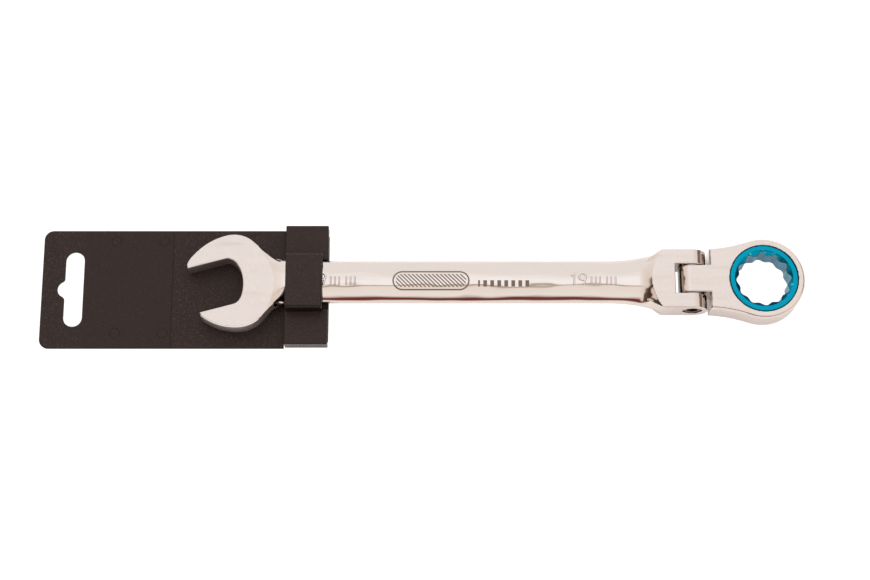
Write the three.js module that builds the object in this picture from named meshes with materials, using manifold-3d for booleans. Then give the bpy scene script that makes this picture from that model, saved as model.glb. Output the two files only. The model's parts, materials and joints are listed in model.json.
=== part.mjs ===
// A 19 mm flex-head ratcheting combination wrench, clipped in its retail hanger.
//
// Millimetres. +X runs from the open end to the ratchet ring, +Z is up, and z = 0 is the
// surface that the hanger and the ratchet head lie on. X and Y are 0 at the middle of the
// whole object. Touching pieces keep a small gap.

import * as THREE from 'three';
import { mergeVertices } from 'three/addons/utils/BufferGeometryUtils.js';
import Module from 'manifold-3d';

const wasm = await Module();
wasm.setup();

// ---------------------------------------------------------------- driving dimensions

const nutSize = 19;            // across flats, both ends
const gap = 0.3;               // clearance between pieces that touch on the real object
const middleZ = 6;             // mid-plane of the wrench above the table
const wrenchY = 1.1;           // the wrench lies to one side of its clip

// Shank
const shankHalfWidth = 8.75;
const shankHalfThick = 3.6;

// Open end. Its outline is a chain of tangent arcs.
const jawX = -76.4;            // middle of the nut's seat
const jawY = -0.64;            // from the wrench's centre line
const jawTilt = THREE.MathUtils.degToRad(15);
const jawHalfThick = 4.2;
const jawReach = 14.5;         // from the seat's middle to the inner corner of each tip
const throatDepth = 4.9;       // from the seat's middle to the throat's floor

// Pivot and clevis
const ringX = 136.5;           // centre of the ratchet ring
const pivotX = ringX - 28.4;
const headHalfThick = 6;       // the clevis is as thick as the head
const clevisHalfWidth = 12.1;
const slotHalfWidth = 6.05;
const slotFloorX = pivotX - 6.9;
const flareStartX = 74.5;
const flareRadius = 70;
const clevisFaceRadius = 19.5; // round edge of the flat clevis face
const clevisFaceX = 111.5;     // centre of that round edge

// Pivot screw
const screwRadius = 2.7;
const screwHeadRadius = 3.55;
const screwHeadDepth = 2.9;
const screwSetBack = 0.5;      // how far the screw lies below the ears' sides
const socketSize = 4;          // hexagon socket, across flats

// Ratchet head, about the ring's centre
const ringRadius = 16.4;
const shoulderX = -21.6;
const shoulderHalfWidth = 12.45;
const tongueHalfWidth = 5.52;
const tongueEndX = -33.45;
const tongueCorner = 3.1;

// Ratchet gear
const toothCount = 72;
const gearRadius = 13.5;
const toothDepth = 0.6;
const gearHalfThick = 5.9;
const toothBandHalf = 2.8;
const boreTurn = THREE.MathUtils.degToRad(2.5);
const boreMouthRadius = 11.6;  // where the 45 degree lead-in meets the face
const ringGrooveZ = -4.3;      // middle of the retaining ring's groove

// Pawl and its spring, behind the gear
const pawlHalfWidth = 4.6;
const pawlHalfThick = 2.7;
const pawlBackX = -17.9;
const pocketBackX = -19;
const springHoleRadius = 1.4;
const springHoleEndX = -24;

// Hanger
const plateX0 = -152.9;
const plateX1 = -37.2;
const plateY = -0.4;
const plateHalfWidth = 24.65;
const plateThick = 1.5;
const clipX0 = -54.6;
const clipX1 = -37.4;
const clipY = 0.3;
const clipHalfWidth = 24.75;

// ---------------------------------------------------------------- making solids

const X = new THREE.Vector3(1, 0, 0);
const Y = new THREE.Vector3(0, 1, 0);
const Z = new THREE.Vector3(0, 0, 1);
const deg = THREE.MathUtils.degToRad;

// A closed three.js geometry as a manifold solid.
function toSolid(geometry) {
  const bare = geometry.clone();
  bare.deleteAttribute('normal');
  bare.deleteAttribute('uv');
  const merged = mergeVertices(bare, 1e-4);
  const index = merged.index.array;
  const kept = [];
  for (let i = 0; i < index.length; i += 3) {
    const [a, b, c] = [index[i], index[i + 1], index[i + 2]];
    if (a !== b && b !== c && c !== a) kept.push(a, b, c);
  }
  return new wasm.Manifold(new wasm.Mesh({
    numProp: 3,
    vertProperties: new Float32Array(merged.attributes.position.array),
    triVerts: new Uint32Array(kept),
  }));
}

function toGeometry(solid) {
  const mesh = solid.getMesh();
  const geometry = new THREE.BufferGeometry();
  geometry.setAttribute('position', new THREE.BufferAttribute(mesh.vertProperties, 3));
  geometry.setIndex(new THREE.BufferAttribute(mesh.triVerts, 1));
  geometry.computeVertexNormals();
  return geometry;
}

// An outline in the XY plane, raised from z0 to z1.
function prism(shape, z0, z1, curveSegments = 24) {
  const options = { depth: z1 - z0, bevelEnabled: false, curveSegments };
  return toSolid(new THREE.ExtrudeGeometry(shape, options).translate(0, 0, z0));
}

// An outline in the XZ plane, swept from y0 to y1.
function sidePrism(shape, y0, y1, curveSegments = 24) {
  const options = { depth: y1 - y0, bevelEnabled: false, curveSegments };
  const geometry = new THREE.ExtrudeGeometry(shape, options).translate(0, 0, -y1);
  return toSolid(geometry.rotateX(Math.PI / 2));
}

// An outline in the YZ plane, swept from x0 to x1.
function crossPrism(shape, x0, x1) {
  const options = { depth: x1 - x0, bevelEnabled: false };
  const geometry = new THREE.ExtrudeGeometry(shape, options).translate(0, 0, x0);
  return toSolid(geometry.applyMatrix4(new THREE.Matrix4().makeBasis(Y, Z, X)));
}

// A cylinder whose axis runs along a direction, between two distances on it.
function rod(radius, axis, from, to, segments = 32, centre = [0, 0, 0]) {
  const geometry = new THREE.CylinderGeometry(radius, radius, to - from, segments);
  geometry.translate(0, (from + to) / 2, 0);
  geometry.applyQuaternion(new THREE.Quaternion().setFromUnitVectors(Y, axis));
  return toSolid(geometry.translate(...centre));
}

function box(x0, x1, y0, y1, z0, z1) {
  const geometry = new THREE.BoxGeometry(x1 - x0, y1 - y0, z1 - z0);
  return toSolid(geometry.translate((x0 + x1) / 2, (y0 + y1) / 2, (z0 + z1) / 2));
}

// A profile of [radius, height] points, turned about the Z axis from the bottom up.
function turned(profile, segments) {
  const points = profile.map(([r, h]) => new THREE.Vector2(r, h));
  return toSolid(new THREE.LatheGeometry(points, segments).rotateX(Math.PI / 2));
}

function polygon(points) {
  return new THREE.Shape(points.map(([a, b]) => new THREE.Vector2(a, b)));
}

function circle(x, y, radius) {
  return new THREE.Shape().absarc(x, y, radius, 0, 2 * Math.PI, false);
}

const smooth = (t) => THREE.MathUtils.smoothstep(t, 0, 1);

// ---------------------------------------------------------------- wrench body

// Each side of the open end is a jaw arc, a tangent rear arc, and a fillet that lands
// tangent on the shank's edge. side is +1 for the upper jaw and -1 for the lower.
function jawSide({ side, x, y, jawRadius, rearRadius, handOver, tip, fillet }) {
  const reach = jawRadius - rearRadius;
  const rearX = x + reach * Math.cos(handOver);
  const rearY = y + reach * Math.sin(handOver);
  const filletY = side * (shankHalfWidth + fillet);
  const rise = filletY - rearY;
  const filletX = rearX + Math.sqrt((rearRadius + fillet) ** 2 - rise ** 2);
  const landing = Math.atan2(rise, filletX - rearX);
  const meetX = rearX + rearRadius * Math.cos(landing);
  // The edge's distance from the centre line at a place along the neck.
  const edgeAt = (at) => {
    if (at > filletX) return side * shankHalfWidth;
    if (at > meetX) return filletY - side * Math.sqrt(fillet ** 2 - (at - filletX) ** 2);
    return rearY + side * Math.sqrt(rearRadius ** 2 - (at - rearX) ** 2);
  };
  return {
    x, y, jawRadius, rearX, rearY, rearRadius, handOver, tip,
    filletX, filletY, fillet, landing, edgeAt,
  };
}

const upperJaw = jawSide({
  side: 1, x: -71.9, y: -5.8, jawRadius: 25, rearRadius: 11.8,
  handOver: deg(104), tip: deg(148.3), fillet: 24,
});
const lowerJaw = jawSide({
  side: -1, x: -73.7, y: 3.1, jawRadius: 22.8, rearRadius: 13.9,
  handOver: deg(-88), tip: deg(-127.4), fillet: 14,
});

// A point of the nut's seat, whose own X runs into the throat.
function seat(x, y) {
  const [c, s] = [Math.cos(jawTilt), Math.sin(jawTilt)];
  return [jawX + x * c - y * s, jawY + x * s + y * c];
}

function openEndOutline() {
  const half = nutSize / 2;
  const neckX = -50;
  const shape = new THREE.Shape();
  shape.moveTo(...seat(-jawReach, half));
  shape.lineTo(...seat(0.4, half));
  shape.bezierCurveTo(...seat(3, half), ...seat(throatDepth, 5.2), ...seat(throatDepth, 1.2));
  shape.lineTo(...seat(throatDepth, -4.6));
  shape.bezierCurveTo(...seat(throatDepth, -7.6), ...seat(3.3, -half), ...seat(0.9, -half));
  shape.lineTo(...seat(-jawReach, -half));
  const low = lowerJaw;
  shape.absarc(low.x, low.y, low.jawRadius, low.tip, low.handOver, false);
  shape.absarc(low.rearX, low.rearY, low.rearRadius, low.handOver, low.landing, false);
  shape.absarc(low.filletX, low.filletY, low.fillet, low.landing + Math.PI, Math.PI / 2, true);
  shape.lineTo(neckX, -shankHalfWidth);
  shape.lineTo(neckX, shankHalfWidth);
  const up = upperJaw;
  shape.absarc(up.filletX, up.filletY, up.fillet, 1.5 * Math.PI, up.landing + Math.PI, true);
  shape.absarc(up.rearX, up.rearY, up.rearRadius, up.landing, up.handOver, false);
  shape.absarc(up.x, up.y, up.jawRadius, up.handOver, up.tip, false);
  return shape;
}

// The flat face of the open end stops at a round edge, where the neck falls away.
function openEnd() {
  const faceEdge = { x: -79, y: -1.9, radius: 20.2 };
  const cutX = -66;
  const slab = prism(openEndOutline(), -jawHalfThick, jawHalfThick, 10);
  const disc = prism(circle(faceEdge.x, faceEdge.y, faceEdge.radius), -9, 9, 16);
  return slab.intersect(disc.add(box(-110, cutX, -40, 40, -9, 9)));
}

function flareAt(x) {
  const run = Math.max(0, x - flareStartX);
  const width = shankHalfWidth + flareRadius - Math.sqrt(flareRadius ** 2 - run ** 2);
  return Math.min(width, clevisHalfWidth);
}

// Oval sections along the neck, the straight shank and the flare.
function shank() {
  const stations = [];
  for (let x = -67; x < -49; x += 2) {
    const thin = smooth((x + 67) / 14);
    const halfThick = 4.1 + (shankHalfThick - 4.1) * thin;
    stations.push({ x, top: upperJaw.edgeAt(x), bottom: lowerJaw.edgeAt(x), halfThick });
  }
  for (let x = flareStartX; x < 97; x += 3) {
    const halfThick = shankHalfThick + 0.5 * smooth((x - flareStartX) / 18);
    stations.push({ x, top: flareAt(x), bottom: -flareAt(x), halfThick });
  }
  const options = { depth: 1, steps: stations.length - 1, bevelEnabled: false, curveSegments: 14 };
  const geometry = new THREE.ExtrudeGeometry(circle(0, 0, 1), options);
  const place = geometry.attributes.position;
  for (let i = 0; i < place.count; i++) {
    const { x, top, bottom, halfThick } = stations[Math.round(place.getZ(i) * options.steps)];
    const y = (top + bottom) / 2 + (place.getX(i) * (top - bottom)) / 2;
    place.setXYZ(i, x, y, place.getY(i) * halfThick);
  }
  return toSolid(geometry);
}

function clevisOutline() {
  const turn = Math.asin(1 - (clevisHalfWidth - shankHalfWidth) / flareRadius);
  const endX = pivotX + headHalfThick + 1;
  const centreY = shankHalfWidth + flareRadius;
  const shape = new THREE.Shape();
  shape.absarc(flareStartX, -centreY, flareRadius, Math.PI / 2, turn, true);
  shape.lineTo(endX, -clevisHalfWidth);
  shape.lineTo(endX, clevisHalfWidth);
  shape.absarc(flareStartX, centreY, flareRadius, -turn, -Math.PI / 2, true);
  return shape;
}

// The flat clevis faces end in a round edge that falls to the shank in an S.
function clevisBlock() {
  const edge = clevisFaceRadius;
  const fall = [[edge, 6], [edge + 1.1, 5.7], [edge + 2.9, 4.2], [edge + 4.3, 3.6]];
  const below = fall.map(([r, h]) => [r, -h]);
  const profile = [[0, -6], ...below, [edge + 7.5, 0], ...fall.reverse(), [0, 6]];
  const dome = turned(profile, 96).translate([clevisFaceX, 0, 0]);
  const side = new THREE.Shape();
  side.moveTo(flareStartX, -headHalfThick);
  side.absarc(pivotX, 0, headHalfThick, -Math.PI / 2, Math.PI / 2, false);
  side.lineTo(flareStartX, headHalfThick);
  const outline = prism(clevisOutline(), -headHalfThick, headHalfThick, 10);
  return dome.intersect(outline).intersect(sidePrism(side, -20, 20, 16));
}

function wrenchBody() {
  const slot = box(slotFloorX, pivotX + 20, -slotHalfWidth, slotHalfWidth, -9, 9);
  const hole = rod(screwRadius + gap, Y, -20, 20, 32, [pivotX, 0, 0]);
  const recessFloor = -clevisHalfWidth + screwSetBack + screwHeadDepth + gap;
  const recess = rod(screwHeadRadius + gap, Y, -20, recessFloor, 32, [pivotX, 0, 0]);
  const forging = openEnd().add(shank()).add(clevisBlock());
  return forging.subtract(slot).subtract(hole).subtract(recess);
}

// ---------------------------------------------------------------- pivot

function pivotScrew() {
  const top = -clevisHalfWidth + screwSetBack;
  const neck = top + screwHeadDepth;
  const head = rod(screwHeadRadius, Y, top, neck, 32);
  const shaft = rod(screwRadius, Y, neck - 0.5, clevisHalfWidth - screwSetBack, 32);
  const socketRadius = socketSize / Math.sqrt(3);
  const socket = rod(socketRadius, Y, top - 1, top + 2, 6);
  return head.add(shaft).subtract(socket);
}

function pivotWasher(side) {
  const thick = 0.3;
  const middle = (side * (tongueHalfWidth + slotHalfWidth)) / 2;
  const disc = rod(5.1, Y, middle - thick / 2, middle + thick / 2, 40);
  return disc.subtract(rod(screwRadius + gap, Y, -20, 20, 32));
}

// ---------------------------------------------------------------- ratchet head

// Everything from here to the hanger is drawn about the ring's centre.

function headOutline() {
  const meet = deg(107);
  const meetX = ringRadius * Math.cos(meet);
  const meetY = ringRadius * Math.sin(meet);
  const shape = new THREE.Shape();
  shape.moveTo(shoulderX, -shoulderHalfWidth);
  shape.bezierCurveTo(-15, -12.7, -10.5, -14, meetX, -meetY);
  shape.absarc(0, 0, ringRadius, -meet, meet, false);
  shape.bezierCurveTo(-10.5, 14, -15, 12.7, shoulderX, shoulderHalfWidth);
  return shape;
}

function tongue() {
  const half = headHalfThick;
  const cornerX = tongueEndX + tongueCorner;
  const side = new THREE.Shape();
  side.moveTo(shoulderX + 2, -half);
  side.lineTo(shoulderX + 2, half);
  side.absarc(cornerX, half - tongueCorner, tongueCorner, Math.PI / 2, Math.PI, false);
  side.absarc(cornerX, tongueCorner - half, tongueCorner, Math.PI, 1.5 * Math.PI, false);
  return sidePrism(side, -tongueHalfWidth, tongueHalfWidth, 8);
}

function ratchetHead() {
  const bore = gearRadius + 0.25;
  const body = prism(headOutline(), -headHalfThick, headHalfThick, 32).add(tongue());
  const groove = rod(14.4, Z, ringGrooveZ - 0.6, ringGrooveZ + 0.6, 72);
  const pocketHalfWidth = pawlHalfWidth + gap;
  const pocketHalfThick = pawlHalfThick + gap;
  const pocket = box(pocketBackX, -10, -pocketHalfWidth, pocketHalfWidth, -pocketHalfThick, pocketHalfThick);
  const springHole = rod(springHoleRadius, X, springHoleEndX, pocketBackX + 1, 16);
  const pivotHole = rod(screwRadius + gap, Y, -20, 20, 32, [pivotX - ringX, 0, 0]);
  return body
    .subtract(rod(bore, Z, -9, 9, 72))
    .subtract(groove)
    .subtract(pocket)
    .subtract(springHole)
    .subtract(pivotHole);
}

// ---------------------------------------------------------------- ratchet gear

// A ring of pointed teeth. A tooth's middle lies on the -X axis, where the pawl is.
function toothOutline(tipRadius, rootRadius) {
  const points = [];
  for (let i = 0; i < 2 * toothCount; i++) {
    const angle = Math.PI + (i * Math.PI) / toothCount;
    const radius = i % 2 ? rootRadius : tipRadius;
    points.push([radius * Math.cos(angle), radius * Math.sin(angle)]);
  }
  return polygon(points);
}

// Two hexagons of the nut's size, turned 30 degrees apart.
function twelvePointOutline() {
  const cornerRadius = nutSize / Math.sqrt(3);
  const notchRadius = nutSize / 2 / Math.cos(deg(15));
  const points = [];
  for (let i = 0; i < 24; i++) {
    const angle = boreTurn + (i * Math.PI) / 12;
    const radius = i % 2 ? notchRadius : cornerRadius;
    points.push([radius * Math.cos(angle), radius * Math.sin(angle)]);
  }
  return polygon(points);
}

function ratchetGear() {
  const root = gearRadius - toothDepth;
  const half = gearHalfThick;
  const [grooveTop, grooveBottom] = [ringGrooveZ + 0.5, ringGrooveZ - 0.5];
  const edge = 0.35;
  const body = turned([
    [0, -half], [gearRadius - edge, -half], [gearRadius, edge - half],
    [gearRadius, grooveBottom], [root, grooveBottom], [root, grooveTop],
    [gearRadius, grooveTop], [gearRadius, -toothBandHalf], [root, -toothBandHalf],
    [root, toothBandHalf], [gearRadius, toothBandHalf], [gearRadius, half - edge],
    [gearRadius - edge, half], [0, half],
  ], 72);
  const teeth = prism(toothOutline(gearRadius, root), -toothBandHalf, toothBandHalf);
  const bore = prism(twelvePointOutline(), -9, 9);
  const mouth = boreMouthRadius;
  const sink = 3;
  const cone = [[mouth - sink, half - sink], [mouth, half], [mouth + 1, half + 1]];
  const above = turned([[0, half - sink], ...cone, [0, half + 1]], 72);
  const below = turned([[0, -half - 1], ...cone.map(([r, h]) => [r, -h]).reverse(), [0, sink - half]], 72);
  return body.add(teeth).subtract(bore).subtract(above).subtract(below);
}

// An open ring that lies half in the gear's groove and half in the housing's.
function retainingRing() {
  const [inner, outer] = [13.15, 14.15];
  const halfGap = 0.12;
  const shape = new THREE.Shape();
  shape.absarc(0, 0, outer, halfGap, 2 * Math.PI - halfGap, false);
  shape.absarc(0, 0, inner, 2 * Math.PI - halfGap, halfGap, true);
  return prism(shape, ringGrooveZ - 0.3, ringGrooveZ + 0.3, 60);
}

// ---------------------------------------------------------------- pawl and spring

// The pawl's face is the gear's own tooth line, moved out by a clearance.
function pawl() {
  const clear = 0.25;
  const block = box(pawlBackX, -12, -pawlHalfWidth, pawlHalfWidth, -pawlHalfThick, pawlHalfThick);
  const outline = toothOutline(gearRadius + clear, gearRadius - toothDepth + clear);
  return block.subtract(prism(outline, -5, 5));
}

const springPinX = pawlBackX - gap;
const springPinHead = 0.7;

function springPin() {
  const headEnd = springPinX - springPinHead;
  const head = rod(1.05, X, headEnd, springPinX, 20);
  return head.add(rod(0.4, X, headEnd - 2.6, headEnd + 0.2, 16));
}

class Helix extends THREE.Curve {
  constructor(radius, length, turns) {
    super();
    Object.assign(this, { radius, length, turns });
  }

  getPoint(t, target = new THREE.Vector3()) {
    const angle = 2 * Math.PI * this.turns * t;
    const [y, z] = [this.radius * Math.cos(angle), this.radius * Math.sin(angle)];
    return target.set(this.length * t, y, z);
  }
}

function pawlSpring() {
  const turns = 5;
  const wire = 0.16;
  const from = springHoleEndX + gap + wire;
  const to = springPinX - springPinHead - gap - wire;
  const path = new Helix(0.86, to - from, turns);
  const options = { steps: turns * 12, bevelEnabled: false, curveSegments: 3, extrudePath: path };
  const coil = new THREE.ExtrudeGeometry(circle(0, 0, wire), options);
  return toSolid(coil.translate(from, 0, 0));
}

// ---------------------------------------------------------------- hanger

// A rectangle from x0 to x1 whose left corners are rounded.
function plateOutline() {
  const corner = 3.75;
  const [left, low, high] = [plateX0 + corner, plateY - plateHalfWidth, plateY + plateHalfWidth];
  const shape = new THREE.Shape();
  shape.moveTo(plateX1, low);
  shape.lineTo(plateX1, high);
  shape.absarc(left, high - corner, corner, Math.PI / 2, Math.PI, false);
  shape.absarc(left, low + corner, corner, Math.PI, 1.5 * Math.PI, false);
  return shape;
}

// The slot that a shop peg goes through, with a round notch in its outer side.
function hangingSlot() {
  const slotX = -139.95;
  const halfWidth = 3.75;
  const straight = 15.6 - halfWidth;
  const shape = new THREE.Shape();
  shape.absarc(slotX, plateY + straight, halfWidth, 0, Math.PI, false);
  shape.absarc(slotX, plateY - straight, halfWidth, Math.PI, 2 * Math.PI, false);
  return prism(shape, -5, 5, 12).add(prism(circle(slotX - 3.25, plateY, 3.4), -5, 5, 10));
}

// Beside the clip the plate is narrower, and thinner below, so that the clip's side walls
// and lips can run along it and slide off its end.
function hangerPlate() {
  const zoneX = clipX0 - gap;
  const recess = 2.4;
  const rebate = 6.6;
  let plate = prism(plateOutline(), 0, plateThick, 8).subtract(hangingSlot());
  for (const side of [-1, 1]) {
    const edge = (depth) => {
      const ends = [plateY + side * (plateHalfWidth - depth), plateY + side * 30];
      return ends.sort((a, b) => a - b);
    };
    plate = plate.subtract(box(zoneX, plateX1 + 1, ...edge(recess), -1, 5));
    plate = plate.subtract(box(zoneX, plateX1 + 1, ...edge(rebate), -1, 0.9));
  }
  return plate;
}

// A saddle: flanges, side walls and lips round the plate, and a hump over the shank.
function hangerClip() {
  const outer = clipHalfWidth;
  const inner = outer - 1.5;
  const lip = inner - 3.5;
  const [lipLow, lipHigh, flangeLow, flangeHigh] = [0.1, 0.6, 4.4, 6];
  const [humpOuter, humpInner, humpLow, humpHigh] = [11.45, 10.25, 11, 12.6];
  const [humpX0, humpX1] = [clipX0 + 0.5, clipX1 - 2.1];
  const humpShape = polygon([
    [-humpOuter, flangeLow], [-humpInner, flangeLow], [-humpInner, humpLow], [humpInner, humpLow],
    [humpInner, flangeLow], [humpOuter, flangeLow], [humpOuter, humpHigh], [-humpOuter, humpHigh],
  ]);
  const sideShape = (side) => polygon([
    [side * humpInner, flangeLow], [side * inner, flangeLow], [side * inner, lipHigh],
    [side * lip, lipHigh], [side * lip, lipLow], [side * outer, lipLow],
    [side * outer, flangeHigh], [side * humpInner, flangeHigh],
  ]);
  const clip = crossPrism(humpShape, humpX0, humpX1)
    .add(crossPrism(sideShape(-1), clipX0, clipX1))
    .add(crossPrism(sideShape(1), clipX0, clipX1));
  return clip.translate([0, clipY, 0]);
}

// ---------------------------------------------------------------- materials

function finish(color, roughness, metalness) {
  return new THREE.MeshStandardMaterial({ color, roughness, metalness });
}

const chrome = () => finish(0xe4dcd6, 0.12, 1);
const spring = () => finish(0x9a9a9c, 0.35, 1);
const darkSteel = () => finish(0x5a5450, 0.4, 1);
const blueSteel = () => finish(0x0a9cba, 0.3, 0.9);
const blackPlastic = () => finish(0x3b3230, 0.75, 0);

// ---------------------------------------------------------------- assembly

function piece(name, solid, material) {
  const mesh = new THREE.Mesh(toGeometry(solid), material);
  mesh.name = name;
  return mesh;
}

const handle = new THREE.Group();
handle.position.set(0, wrenchY, middleZ);
handle.add(piece('wrench_body', wrenchBody(), chrome()));

const pivot = new THREE.Group();
pivot.position.set(pivotX, 0, 0);
pivot.add(
  piece('pivot_screw', pivotScrew(), darkSteel()),
  piece('pivot_washer_front', pivotWasher(-1), spring()),
  piece('pivot_washer_rear', pivotWasher(1), spring()),
);

const head = new THREE.Group();
head.position.set(ringX, 0, 0);
head.add(
  piece('ratchet_head', ratchetHead(), chrome()),
  piece('ratchet_gear', ratchetGear(), blueSteel()),
  piece('gear_retaining_ring', retainingRing(), spring()),
  piece('pawl', pawl(), darkSteel()),
  piece('spring_pin', springPin(), darkSteel()),
  piece('pawl_spring', pawlSpring(), spring()),
);
handle.add(pivot, head);

const hanger = new THREE.Group();
hanger.add(
  piece('hanger_plate', hangerPlate(), blackPlastic()),
  piece('hanger_clip', hangerClip(), blackPlastic()),
);

const wrench = new THREE.Group();
wrench.name = 'flex_head_ratchet_wrench';
wrench.add(handle, hanger);

export default wrench;
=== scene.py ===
"""Looks for a flex-head ratcheting combination wrench in its retail hanger.

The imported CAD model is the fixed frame. Each visible piece is meshed here from a signed
distance field in millimetres, with the edge radii, fillets and marks that the plain CAD
solids leave out. The field's own frame is the wrench's: X along the shank, Y across it,
and Z up from its mid-plane.
"""

import json
import math

import bpy
import numpy as np
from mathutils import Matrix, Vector


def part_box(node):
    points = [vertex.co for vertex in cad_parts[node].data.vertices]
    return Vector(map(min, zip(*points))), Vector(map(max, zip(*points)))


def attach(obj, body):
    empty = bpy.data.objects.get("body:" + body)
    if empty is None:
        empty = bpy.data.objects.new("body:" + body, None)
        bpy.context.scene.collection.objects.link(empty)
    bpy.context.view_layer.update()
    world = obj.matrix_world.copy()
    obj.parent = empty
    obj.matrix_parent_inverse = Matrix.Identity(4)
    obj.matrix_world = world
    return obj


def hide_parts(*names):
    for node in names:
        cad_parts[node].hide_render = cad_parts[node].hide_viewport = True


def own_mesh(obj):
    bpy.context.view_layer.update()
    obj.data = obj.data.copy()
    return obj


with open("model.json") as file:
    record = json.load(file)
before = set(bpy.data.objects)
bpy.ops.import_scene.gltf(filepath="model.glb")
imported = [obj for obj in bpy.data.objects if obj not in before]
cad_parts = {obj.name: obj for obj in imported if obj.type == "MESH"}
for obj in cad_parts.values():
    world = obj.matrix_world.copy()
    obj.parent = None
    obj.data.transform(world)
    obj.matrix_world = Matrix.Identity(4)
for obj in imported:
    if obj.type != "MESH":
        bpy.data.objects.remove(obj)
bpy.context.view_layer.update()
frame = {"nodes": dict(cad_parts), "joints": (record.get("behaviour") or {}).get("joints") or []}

MM = 0.001


# ------------------------------------------------------------------ measures from the frame

def box_mm(node):
    low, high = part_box(node)
    return np.array(low) / MM, np.array(high) / MM


def joint(name):
    return next(j for j in frame["joints"] if j["name"] == name)


GEAR_LOW, GEAR_HIGH = box_mm("ratchet_gear")
BODY_LOW, BODY_HIGH = box_mm("wrench_body")
PLATE_LOW, PLATE_HIGH = box_mm("hanger_plate")
CLIP_LOW, CLIP_HIGH = box_mm("hanger_clip")
SPRING_LOW, SPRING_HIGH = box_mm("pawl_spring")
PIVOT = np.array(joint("head_tilt")["pos_m"]) / MM
RING = np.array(joint("gear_spin")["pos_m"]) / MM
AXIS = np.array([0.0, PIVOT[1], PIVOT[2]])    # the wrench's centre line

NUT = 19.0                       # across flats, both ends
SHANK_HALF = 8.75                # half width
SHANK_THICK = 3.6                # half thickness, as the next two
JAW_THICK = 4.2
HEAD_THICK = (BODY_HIGH[2] - BODY_LOW[2]) / 2
CLEVIS_HALF = 12.1               # half width
SLOT_HALF = 6.05
SLOT_FLOOR = PIVOT[0] - 6.9
FLARE_START = PIVOT[0] - 33.6
FLARE_RADIUS = 70.0
FLARE_SOFT = 0.5                 # how much width the rounding of the flare's corner takes
FACE_EDGE = 19.5                 # radius of the flat clevis face's round edge
FACE_CENTRE = PIVOT[0] + 3.4
SCREW_HEAD = 3.55                # radius, as the next one
SCREW_SHAFT = 2.7
SCREW_END = CLEVIS_HALF - 0.5    # the screw is set back a little in both ears
SCREW_HEAD_DEPTH = 2.9
GAP = 0.3
GROOVE_LEVEL = -4.3              # of the retaining ring's groove, in housing and gear
GEAR_RADIUS = (GEAR_HIGH[0] - GEAR_LOW[0]) / 2
GEAR_THICK = (GEAR_HIGH[2] - GEAR_LOW[2]) / 2
BORE_TURN = math.radians(2.5)


# ------------------------------------------------------------------ distance fields

def both(a, b, radius=0.0):
    """Inside both, with the shared edge rounded."""
    if radius == 0:
        return np.maximum(a, b)
    over = np.hypot(np.maximum(a + radius, 0), np.maximum(b + radius, 0))
    return np.minimum(np.maximum(a, b), -radius) + over


def either(a, b, radius=0.0):
    """Inside either one, with a fillet where they meet."""
    return -both(-a, -b, radius)


def without(a, b, radius=0.0):
    return both(a, -b, radius)


def all_of(first, *rest):
    """Inside every one of the fields."""
    for field in rest:
        first = np.maximum(first, field)
    return first


def any_of(first, *rest):
    for field in rest:
        first = np.minimum(first, field)
    return first


def smooth(t):
    t = np.clip(t, 0, 1)
    return t * t * (3 - 2 * t)


def slab(value, low, high):
    """Between two parallel planes."""
    return np.maximum(low - value, value - high)


def oval(y, z, half_width, half_thick):
    """An ellipse, as a first-order distance."""
    unit = np.sqrt((y / half_width) ** 2 + (z / half_thick) ** 2) + 1e-6
    slope = np.sqrt((y / half_width ** 2) ** 2 + (z / half_thick ** 2) ** 2) + 1e-6
    return unit * (unit - 1) / slope


def hexagon(x, y, across):
    turns = [k * math.pi / 3 for k in range(3)]
    far = [np.abs(x * math.cos(turn) + y * math.sin(turn)) for turn in turns]
    return all_of(*far) - across / 2


def segment(x, y, a, b):
    """The distance to a straight line between two points."""
    (ax, ay), (bx, by) = a, b
    run = (bx - ax) ** 2 + (by - ay) ** 2 + 1e-12
    t = np.clip(((x - ax) * (bx - ax) + (y - ay) * (by - ay)) / run, 0, 1)
    return np.hypot(x - ax - t * (bx - ax), y - ay - t * (by - ay))


def on_arc(centre, radius, turn):
    return centre[0] + radius * math.cos(turn), centre[1] + radius * math.sin(turn)


class Outline:
    """A closed outline of arcs, straight lines and Bezier bends, drawn in order."""

    def __init__(self):
        self.arcs = []
        self.lines = []
        self.points = []

    def line(self, *points):
        self.lines += list(zip(points, points[1:]))
        self.points += points

    def arc(self, centre, radius, start, end):
        steps = max(4, int(abs(end - start) / 0.02))
        self.arcs.append((centre, radius, min(start, end), abs(end - start)))
        self.points += [on_arc(centre, radius, turn) for turn in np.linspace(start, end, steps)]

    def bend(self, *corners):
        dots = []
        for t in np.linspace(0, 1, 25):
            weights = ((1 - t) ** 3, 3 * t * (1 - t) ** 2, 3 * t * t * (1 - t), t ** 3)
            dots.append(tuple(sum(w * p[i] for w, p in zip(weights, corners)) for i in (0, 1)))
        self.line(*dots)

    def inside(self, x, y):
        found = np.zeros(np.broadcast(x, y).shape, bool)
        for (ax, ay), (bx, by) in zip(self.points, self.points[1:] + self.points[:1]):
            if ay != by:
                crosses = x < (bx - ax) * (y - ay) / (by - ay) + ax
                found ^= ((ay > y) != (by > y)) & crosses
        return found

    def distance(self, x, y):
        near = np.full(np.broadcast(x, y).shape, 1e9)
        for centre, radius, start, sweep in self.arcs:
            dx, dy = x - centre[0], y - centre[1]
            turn = (np.arctan2(dy, dx) - start) % (2 * math.pi)
            away = np.abs(np.hypot(dx, dy) - radius)
            near = np.where(turn <= sweep, np.minimum(near, away), near)
        for a, b in self.lines:
            near = np.minimum(near, segment(x, y, a, b))
        return np.where(self.inside(x, y), -near, near)


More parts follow.
